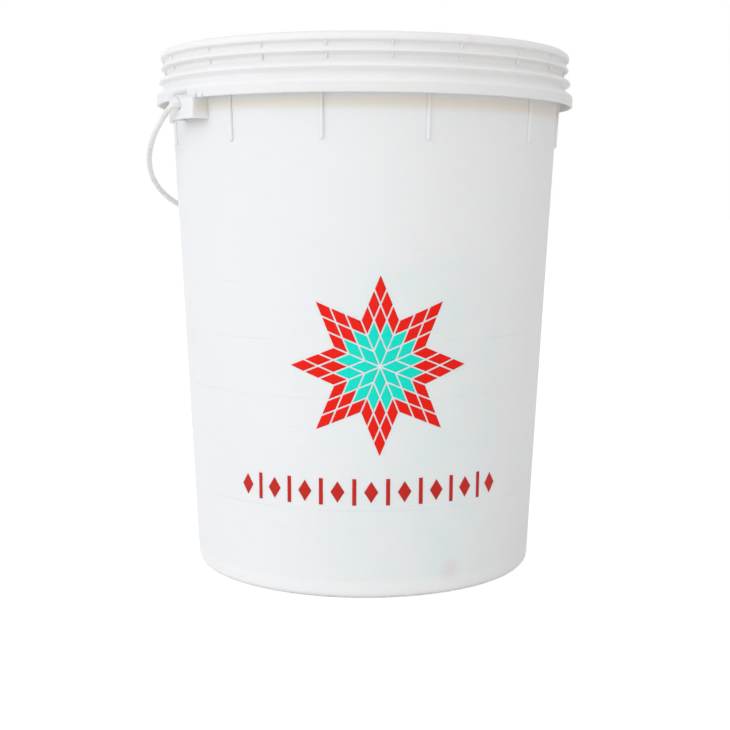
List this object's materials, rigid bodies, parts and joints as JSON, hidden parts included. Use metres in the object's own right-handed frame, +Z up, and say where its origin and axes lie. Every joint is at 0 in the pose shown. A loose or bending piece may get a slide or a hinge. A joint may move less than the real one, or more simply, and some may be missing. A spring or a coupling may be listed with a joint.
{
  "type": "plastic pail with bail",
  "caption": "Open tapered plastic pail with a beaded rim, a hanging collar and moulded ears, and a wire bail that carries a turning hand grip.",
  "frame": {"origin": "middle of the base, on the surface that the pail stands on", "axes": "+Z up along the pail's axis, the two ears on the X axis, the bail hanging at rest on the +Y side, and the printed panel on the -Y side turned towards -X"},
  "size_m": [0.3238, 0.3113, 0.3788],
  "materials": {
    "pail_plastic": "injection moulded white plastic with a soft sheen, and a two-colour printed panel on one side",
    "bail_coating": "steel wire with a smooth white plastic coating",
    "grip_plastic": "moulded white plastic with a fine matte texture"
  },
  "bodies": {
    "pail": {"pail_body": "pail_plastic"},
    "bail": {"bail_wire": "bail_coating"},
    "grip": {"bail_grip": "grip_plastic"}
  },
  "joints": [
    {"name": "bail_swing", "type": "hinge", "parent": "pail", "child": "bail", "pos_m": [0, 0, 0.3357], "axis": [1, 0, 0], "range_deg": [0, 234.51]},
    {"name": "grip_spin", "type": "hinge", "parent": "bail", "child": "grip", "pos_m": [0, 0.14836, 0.25927], "axis": [1, 0, 0], "continuous": true}
  ]
}
